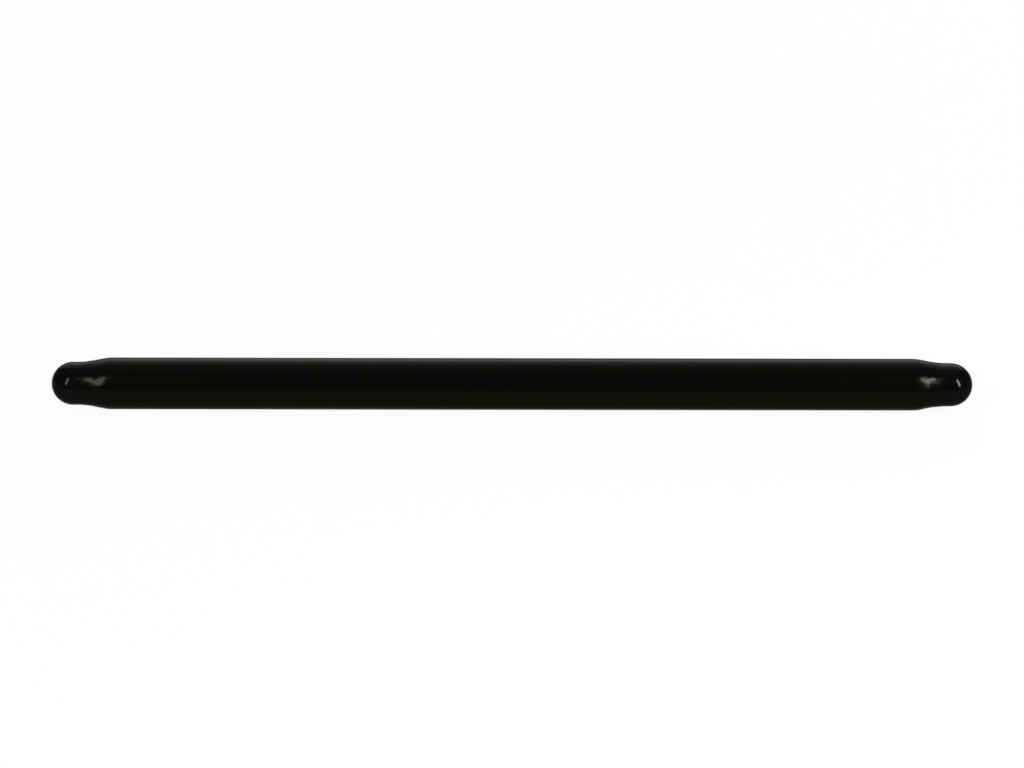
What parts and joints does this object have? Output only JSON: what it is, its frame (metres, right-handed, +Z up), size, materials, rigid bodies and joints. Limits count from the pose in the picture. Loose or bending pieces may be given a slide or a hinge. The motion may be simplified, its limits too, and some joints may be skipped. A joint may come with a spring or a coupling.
{
  "type": "engine pushrod",
  "caption": "Straight black steel tube swaged at each end to a pierced ball; it carries a cam follower's push to a rocker arm, and oil along its bore.",
  "frame": {"origin": "middle of the rod, on its axis", "axes": "+X along the rod towards the rocker arm, +Z up"},
  "size_m": [0.169, 0.0094, 0.0096],
  "materials": {
    "black_oxide_steel": "satin"
  },
  "bodies": {
    "root": {"pushrod": "black_oxide_steel"}
  },
  "joints": []
}
